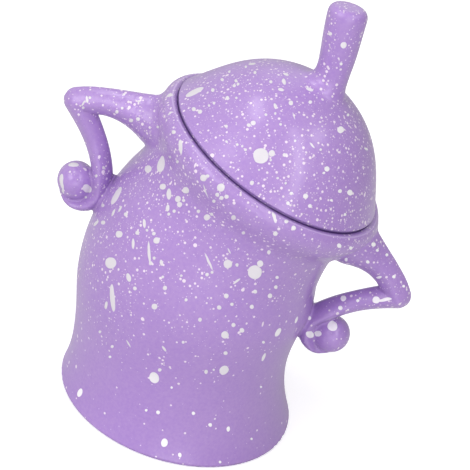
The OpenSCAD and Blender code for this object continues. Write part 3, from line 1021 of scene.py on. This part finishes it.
# Round drops: across, down and radius
DROPS_PX = [
    # Lid
    (260.9, 155.8, 7.7), (271.8, 153.4, 3.2), (284.5, 154.7, 2.0), (320.7, 149.6, 1.3),
    (340.7, 129.7, 3.4), (348.0, 114.8, 1.4), (327.0, 169.0, 2.6), (323.9, 173.0, 1.3),
    (349.9, 192.7, 2.8), (340.0, 191.0, 2.0), (305.6, 196.2, 2.6), (309.9, 206.0, 1.9),
    (288.0, 203.3, 1.9), (291.2, 193.5, 1.7), (251.8, 183.0, 2.2), (345.1, 214.5, 1.5),
    (331.4, 200.2, 1.4), (310.4, 102.0, 1.8), (290.9, 102.9, 2.3), (248.9, 125.2, 2.0),
    (253.2, 123.0, 2.4), (235.8, 80.8, 1.5), (234.2, 85.6, 1.6), (238.0, 84.2, 1.5),
    (222.2, 79.7, 1.6), (229.2, 71.7, 1.2), (245.8, 66.7, 1.2), (255.0, 72.5, 1.5),
    (270.8, 81.7, 1.6), (275.0, 113.7, 1.3), (265.8, 114.7, 1.4), (236.2, 98.0, 1.2),
    (212.8, 90.0, 1.8), (280.8, 124.5, 1.4), (226.2, 126.2, 1.6), (237.0, 144.5, 1.4),
    (226.7, 141.7, 1.3), (245.8, 149.5, 1.5), (242.2, 146.2, 1.1), (295.0, 140.8, 1.2),
    (270.8, 160.0, 1.2), (277.5, 178.3, 1.2), (285.8, 183.3, 1.3), (259.2, 170.0, 1.1),
    (213.9, 103.3, 1.4), (227.4, 98.0, 1.9), (193.7, 109.1, 2.1), (200.0, 111.7, 2.1),
    (209.0, 105.5, 1.3),
    # Stem
    (343.8, 45.1, 3.2), (330.3, 33.8, 1.8), (341.1, 64.1, 1.5),
    # Left arm and fist
    (87.2, 188.8, 4.0), (96.0, 176.0, 1.5), (103.7, 167.6, 1.5), (85.8, 197.3, 1.3),
    (90.0, 97.6, 1.4), (83.0, 107.8, 1.4), (116.7, 111.8, 1.7), (122.0, 108.2, 1.4),
    (131.0, 120.7, 1.9), (137.9, 119.0, 1.9), (138.5, 101.5, 1.3), (124.2, 94.2, 1.3),
    # Right arm and fist
    (332.6, 325.8, 5.0), (310.0, 334.5, 3.4), (317.8, 333.6, 3.1), (309.3, 318.0, 1.8),
    (343.2, 298.2, 3.0), (340.3, 307.9, 2.2), (357.8, 300.5, 1.6), (376.2, 300.0, 3.7),
    (350.8, 248.3, 1.7), (339.3, 245.8, 2.2), (346.2, 259.7, 1.6), (367.7, 262.0, 1.8),
    (373.5, 244.5, 2.2), (377.3, 250.4, 1.5), (386.9, 254.8, 1.5), (394.0, 277.0, 1.7),
    (403.7, 286.2, 1.4),
    # Lip and shoulder
    (158.2, 127.0, 1.3), (173.6, 132.0, 1.9), (177.3, 161.8, 1.5), (170.0, 157.0, 1.3),
    (148.0, 168.8, 3.5), (162.7, 186.6, 3.1), (186.0, 190.2, 3.1), (173.9, 211.2, 1.7),
    (168.8, 214.2, 1.6), (178.0, 199.0, 3.0), (179.5, 204.5, 2.6), (183.5, 200.5, 1.5),
    (203.3, 177.9, 3.4), (207.5, 176.0, 1.8), (220.7, 187.6, 4.1), (217.3, 194.8, 2.1),
    (221.5, 197.9, 2.1), (226.4, 196.7, 2.1), (213.9, 201.3, 1.6), (207.0, 217.3, 3.1),
    (211.6, 214.2, 1.6), (198.5, 211.2, 1.8), (233.4, 217.6, 2.5), (286.4, 221.4, 2.0),
    (293.8, 228.0, 2.4), (275.3, 233.6, 2.2), (243.4, 232.8, 1.7), (102.7, 205.2, 1.8),
    (103.0, 222.5, 2.1), (125.8, 214.2, 2.0), (119.0, 234.2, 3.4), (137.3, 232.8, 2.0),
    (153.9, 233.6, 1.9), (156.5, 240.5, 3.2), (147.0, 230.2, 1.3),
    # Belly
    (154.4, 306.6, 2.9), (110.5, 262.9, 5.6), (150.7, 263.2, 1.9), (154.1, 258.2, 1.6),
    (164.9, 288.0, 2.3), (134.9, 288.6, 2.0), (162.8, 276.8, 1.4), (181.3, 275.7, 1.3),
    (227.9, 264.0, 4.3), (237.0, 264.9, 1.7), (254.8, 272.3, 7.0), (260.3, 263.7, 3.2),
    (268.9, 252.1, 1.8), (277.2, 277.3, 1.6), (275.9, 287.1, 1.8), (269.9, 296.0, 2.3),
    (255.1, 291.7, 2.0), (251.8, 306.8, 2.1), (226.3, 295.9, 2.4), (219.2, 307.5, 2.2),
    (231.8, 304.3, 1.7), (207.2, 274.5, 1.8), (212.0, 272.3, 1.4), (186.0, 300.0, 1.6),
    (199.8, 319.8, 1.9), (233.6, 325.1, 2.0), (241.9, 330.4, 2.3), (225.0, 335.0, 3.7),
    (225.5, 353.1, 2.0), (183.2, 342.3, 1.4), (100.0, 331.7, 1.4), (112.2, 346.5, 1.5),
    (109.9, 356.9, 1.4),
    # Hip and foot
    (159.6, 369.9, 1.7), (213.8, 369.9, 1.1), (263.4, 342.3, 1.4), (171.6, 387.6, 1.2),
    (158.1, 412.5, 1.9), (146.2, 410.3, 1.4), (193.4, 413.3, 1.7), (210.2, 424.9, 1.9),
    (251.5, 438.7, 1.3), (220.0, 462.2, 1.4), (261.0, 386.9, 1.2), (266.4, 453.9, 1.6),
]

# Runs: across and down at one end and at the other, and width
RUNS_PX = [
    # Lid
    (188.0, 95.0, 201.0, 88.8, 5.4), (275.0, 104.5, 275.8, 107.8, 3.2),
    (307.5, 88.6, 311.5, 90.0, 3.4), (279.6, 89.2, 282.2, 90.0, 3.2),
    (249.8, 63.9, 254.4, 63.7, 2.8), (283.6, 79.5, 284.2, 83.5, 4.0),
    (284.8, 73.6, 287.4, 75.0, 3.0), (293.0, 113.0, 295.0, 119.0, 1.2),
    (310.4, 143.5, 314.3, 147.5, 1.8), (364.8, 148.6, 367.6, 149.4, 2.6),
    # Left arm and fist
    (61.2, 175.5, 60.9, 183.0, 3.8), (61.2, 182.0, 62.4, 188.0, 3.4),
    (62.2, 187.0, 63.6, 195.0, 2.4), (70.5, 164.0, 76.5, 164.6, 5.4),
    (86.6, 97.0, 87.6, 102.0, 2.6), (81.4, 106.0, 85.0, 101.0, 1.5),
    # Right arm and fist
    (379.0, 301.0, 391.7, 298.2, 3.4), (376.9, 278.0, 380.5, 277.0, 2.8),
    # Lip and shoulder
    (168.6, 95.4, 171.6, 94.6, 3.4), (168.2, 114.8, 171.8, 111.8, 1.6),
    (180.0, 141.0, 180.8, 152.5, 4.0), (162.3, 159.0, 160.4, 169.0, 6.6),
    (168.8, 191.0, 168.9, 197.4, 4.6), (167.9, 206.6, 167.3, 209.8, 3.8),
    (203.3, 185.2, 207.6, 197.3, 1.4), (119.8, 189.2, 112.6, 202.0, 5.4),
    (121.4, 206.6, 118.9, 211.2, 2.0), (114.5, 210.0, 112.2, 215.2, 2.2),
    (94.3, 224.3, 97.4, 222.2, 4.6), (143.9, 220.5, 144.5, 226.6, 3.2),
    (133.0, 240.0, 133.1, 247.6, 2.8), (148.4, 243.0, 149.6, 261.5, 2.8),
    (272.6, 211.5, 276.0, 222.0, 3.4),
    # Belly
    (111.5, 286.5, 113.2, 309.5, 5.0), (106.6, 303.0, 105.5, 307.6, 3.6),
    (127.8, 275.6, 129.2, 279.8, 4.4), (161.2, 261.6, 161.6, 264.2, 3.4),
    (205.4, 254.6, 212.3, 269.4, 2.2), (234.2, 283.2, 239.4, 279.4, 2.2),
    (228.0, 248.8, 230.2, 253.0, 1.5), (162.9, 347.0, 165.3, 350.6, 2.6),
    (126.7, 340.6, 130.2, 346.6, 1.6), (278.8, 330.4, 277.4, 334.2, 5.6),
    (264.6, 354.4, 263.0, 359.6, 4.0), (297.2, 317.8, 295.6, 322.2, 2.6),
    # Hip and foot
    (154.2, 376.2, 154.0, 379.2, 10.0), (224.0, 369.0, 224.2, 371.4, 9.6),
    (81.0, 391.2, 78.9, 394.0, 6.0), (205.9, 371.0, 206.1, 372.8, 3.6),
    (164.6, 441.8, 164.2, 443.8, 7.0), (228.2, 428.2, 228.5, 430.0, 3.8),
    (179.6, 454.4, 179.8, 455.8, 3.4),
]


# The most that a mark is drawn out where the camera sees the skin at a slant
STEEPEST = 0.3


class Eye:
    """The camera's place and directions, and what it sees through a pixel of the photograph"""

    def __init__(self, stage):
        flat = Vector((0, math.cos(stage.elevation), -math.sin(stage.elevation)))
        rise = Vector((0, math.sin(stage.elevation), math.cos(stage.elevation)))
        across = Vector((1, 0, 0))
        self.view = flat
        self.right = across * math.cos(stage.roll) + rise * math.sin(stage.roll)
        self.up = rise * math.cos(stage.roll) - across * math.sin(stage.roll)
        self.place = Vector(stage.aim) - self.view * stage.distance
        self.focal = stage.focal_px

    def ray(self, x, y):
        middle = PHOTO_PX / 2
        aside = self.right * ((x - middle) / self.focal)
        above = self.up * ((middle - y) / self.focal)
        return (self.view + aside + above).normalized()

    def size_at(self, point):
        """Metres to a pixel at a point"""
        return (point - self.place).dot(self.view) / self.focal


def splatter_on(piece, others, eye):
    """The marks that land on one piece: middle, way, half length and half width of each"""
    graph = bpy.context.evaluated_depsgraph_get()
    trees = [BVHTree.FromObject(o, graph) for o in [piece] + others]

    def landing(x, y):
        """Point and normal where a pixel's line of sight meets the piece, if nothing hides it"""
        hits = [tree.ray_cast(eye.place, eye.ray(x, y)) for tree in trees]
        reach = [hit[3] if hit[0] is not None else math.inf for hit in hits]
        return hits[0][:2] if reach[0] == min(reach) < math.inf else None

    def mark(point, normal, way, half, radius):
        """A long ball at a point of the skin, as wide across as it has to look from the camera"""
        way = (way - normal * way.dot(normal)).normalized()
        sight = (point - eye.place).normalized()
        seen = math.sqrt(1 - min(normal.cross(way).dot(sight) ** 2, 1 - STEEPEST**2))
        return tuple(point), tuple(way), max(half, radius / seen), radius / seen

    marks = []
    for x, y, radius in DROPS_PX:
        found = landing(x, y)
        if found is not None:
            point, normal = found
            sight = eye.ray(x, y)
            slant = max(abs(sight.dot(normal)), STEEPEST)
            radius = radius * eye.size_at(point)
            marks.append(mark(point, normal, sight, radius / slant, radius))
    for x0, y0, x1, y1, width in RUNS_PX:
        first, last = landing(x0, y0), landing(x1, y1)
        found = landing((x0 + x1) / 2, (y0 + y1) / 2)
        if first is not None and last is not None and found is not None:
            way = (last[0] - first[0]) / 2
            radius = width / 2 * eye.size_at(found[0])
            marks.append(mark(*found, way, way.length + radius, radius))
    return marks


class CANDYJAR_OT_stage(bpy.types.Operator):
    """Make the floor, the soft light and the camera"""

    bl_idname = "candy_jar.stage"
    bl_label = "Make Stage"

    NEAREST = 10 * MM
    AIM = (0, 0, 0.1)
    SKY = 0.47
    SKY_SIDE = 0.31
    SKY_GLOSS = 0.15
    FLOOR_GLOW = 0.5

    # Name, place, width, height, power and colour of each soft lamp
    LAMPS = [
        ("key_lamp", (-0.70, -0.75, 0.80), 0.7, 0.7, 4.0, (1.0, 0.985, 0.97)),
        ("front_lamp", (0.30, -1.20, 0.28), 0.9, 0.9, 3.7, (1.0, 0.99, 1.0)),
        ("left_strip", (-0.35, -0.05, 1.03), 0.55, 0.18, 1.4, (1.0, 1.0, 1.0)),
        ("right_strip", (0.42, -0.48, 0.75), 0.14, 0.9, 1.8, (1.0, 1.0, 1.0)),
        ("top_lamp", (0.58, -0.08, 0.90), 0.35, 0.2, 0.7, (1.0, 1.0, 1.0)),
        ("back_lamp", (0.0, 0.9, 0.9), 0.8, 0.8, 0.8, (1.0, 1.0, 1.0)),
    ]

    def execute(self, context):
        settings = context.scene.candy_jar_stage
        scene = context.scene
        eye = Eye(settings)
        data = bpy.data.cameras.new("photo_camera")
        data.sensor_width = SENSOR_MM
        data.lens = SENSOR_MM * settings.focal_px / PHOTO_PX
        data.clip_start = self.NEAREST
        camera = bpy.data.objects.new("photo_camera", data)
        turn = Matrix((eye.right, eye.up, -eye.view)).transposed().to_4x4()
        camera.matrix_world = Matrix.Translation(eye.place) @ turn
        scene.collection.objects.link(camera)
        scene.camera = camera

        half = settings.floor_size / 2
        mesh = bpy.data.meshes.new("floor")
        square = [(-half, -half, 0), (half, -half, 0), (half, half, 0), (-half, half, 0)]
        mesh.from_pydata(square, [], [(0, 1, 2, 3)])
        floor = bpy.data.objects.new("floor", mesh)
        scene.collection.objects.link(floor)
        mesh.materials.append(self.floor_finish())

        for name, place, width, height, power, tint in self.LAMPS:
            lamp = bpy.data.lights.new(name, "AREA")
            lamp.shape = "ELLIPSE"
            lamp.size = width
            lamp.size_y = height
            lamp.energy = power
            lamp.color = tint
            made = bpy.data.objects.new(name, lamp)
            made.location = place
            way = Vector(self.AIM) - Vector(place)
            made.rotation_euler = way.to_track_quat("-Z", "Y").to_euler()
            scene.collection.objects.link(made)

        world = bpy.data.worlds.new("studio")
        world.use_nodes = True
        scene.world = world
        shade = Shade(world.node_tree)
        paths = shade.node("ShaderNodeLightPath")
        way = shade.node("ShaderNodeTexCoord").outputs["Generated"]
        aside = shade.node("ShaderNodeSeparateXYZ", sockets={"Vector": way}, out="X")
        camera_ray = Num(shade, paths.outputs["Is Camera Ray"])
        glossy_ray = Num(shade, paths.outputs["Is Glossy Ray"])
        strength = self.SKY - aside * self.SKY_SIDE + glossy_ray * self.SKY_GLOSS
        strength = strength.most(camera_ray)
        sky = shade.node(
            "ShaderNodeBackground", sockets={"Color": (1, 1, 1, 1), "Strength": strength}
        )
        shade.node("ShaderNodeOutputWorld", sockets={"Surface": sky.outputs["Background"]})
        scene.view_settings.view_transform = "Standard"
        return {"FINISHED"}

    def floor_finish(self):
        """Pale matt floor that the camera sees as near white, with the jar's shadow on it"""
        material = bpy.data.materials.new("pale_floor")
        material.use_nodes = True
        shade = Shade(material.node_tree)
        matt = shade.node("ShaderNodeBsdfDiffuse", sockets={"Color": (0.80, 0.80, 0.80, 1)})
        camera_ray = shade.node("ShaderNodeLightPath", out="Is Camera Ray")
        glow = shade.node(
            "ShaderNodeEmission",
            sockets={"Color": (1, 1, 1, 1), "Strength": camera_ray * self.FLOOR_GLOW},
        )
        both = shade.node(
            "ShaderNodeAddShader", sockets={0: matt.outputs["BSDF"], 1: glow.outputs["Emission"]}
        )
        shade.node("ShaderNodeOutputMaterial", sockets={"Surface": both.outputs["Shader"]})
        return material


class CANDYJAR_OT_jar(bpy.types.Operator):
    """Cast the hollow body with its two arms"""

    bl_idname = "candy_jar.jar"
    bl_label = "Make Jar"

    VOXEL = 1.3 * MM

    def execute(self, context):
        scene = context.scene
        lid = scene.candy_jar_lid
        form = JarForm(scene.candy_jar_body, scene.candy_jar_arms, lid)
        cast_piece("jar", form, self.VOXEL, lid.lid_d / 2)
        return {"FINISHED"}


class CANDYJAR_OT_lid(bpy.types.Operator):
    """Cast the domed lid with its stem"""

    bl_idname = "candy_jar.lid"
    bl_label = "Make Lid"

    VOXEL = 0.9 * MM

    def execute(self, context):
        scene = context.scene
        lid = scene.candy_jar_lid
        form = LidForm(lid, BodyForm(scene.candy_jar_body))
        cast_piece("lid", form, self.VOXEL, lid.lid_d / 2)
        return {"FINISHED"}


class CANDYJAR_OT_glaze(bpy.types.Operator):
    """Glaze the jar and the lid, and splatter them"""

    bl_idname = "candy_jar.glaze"
    bl_label = "Glaze"

    # How dark the shade beside the seam is, and how the specks thicken towards the right
    SIDES = {"jar_glazed": (1, -14), "lid_glazed": (0.2, 2)}

    def execute(self, context):
        scene = context.scene
        eye = Eye(scene.candy_jar_stage)
        look = scene.candy_jar_glaze
        lid = scene.candy_jar_lid
        body = BodyForm(scene.candy_jar_body)
        centre = body.centre - body.axis * look.seam_drop
        seam = (tuple(centre), tuple(body.axis), (lid.lid_d - lid.lid_round) / 2)
        pieces = [bpy.data.objects[name] for name in self.SIDES]
        for piece in pieces:
            others = [o for o in pieces if o is not piece]
            marks = splatter_on(piece, others, eye)
            shade_share, crowd_slope = self.SIDES[piece.name]
            finish = splatter_glaze(
                f"{piece.name}_finish", look, marks, seam, shade_share, crowd_slope
            )
            piece.data.materials.clear()
            piece.data.materials.append(finish)
        return {"FINISHED"}


OPERATORS = (CANDYJAR_OT_stage, CANDYJAR_OT_jar, CANDYJAR_OT_lid, CANDYJAR_OT_glaze)
SETTINGS = {
    "candy_jar_body": BodySettings,
    "candy_jar_arms": ArmSettings,
    "candy_jar_lid": LidSettings,
    "candy_jar_glaze": GlazeSettings,
    "candy_jar_stage": StageSettings,
}


class CANDYJAR_PT_panel(bpy.types.Panel):
    """Lists the steps and the settings"""

    bl_idname = "CANDYJAR_PT_panel"
    bl_label = "Candy Jar"
    bl_space_type = "VIEW_3D"
    bl_region_type = "UI"
    bl_category = "Candy Jar"

    def draw(self, context):
        for operator in OPERATORS:
            self.layout.operator(operator.bl_idname)
        for name, group in SETTINGS.items():
            box = self.layout.box()
            box.label(text=group.__doc__)
            for key in group.__annotations__:
                box.prop(getattr(context.scene, name), key)


CLASSES = (*SETTINGS.values(), *OPERATORS, CANDYJAR_PT_panel)


def register():
    for cls in CLASSES:
        bpy.utils.register_class(cls)
    for name, group in SETTINGS.items():
        setattr(bpy.types.Scene, name, PointerProperty(type=group))


def unregister():
    for name in SETTINGS:
        delattr(bpy.types.Scene, name)
    for cls in reversed(CLASSES):
        bpy.utils.unregister_class(cls)


def main():
    register()
    bpy.ops.candy_jar.stage()
    bpy.ops.candy_jar.jar()
    bpy.ops.candy_jar.lid()
    bpy.ops.candy_jar.glaze()


if __name__ == "__main__":
    main()
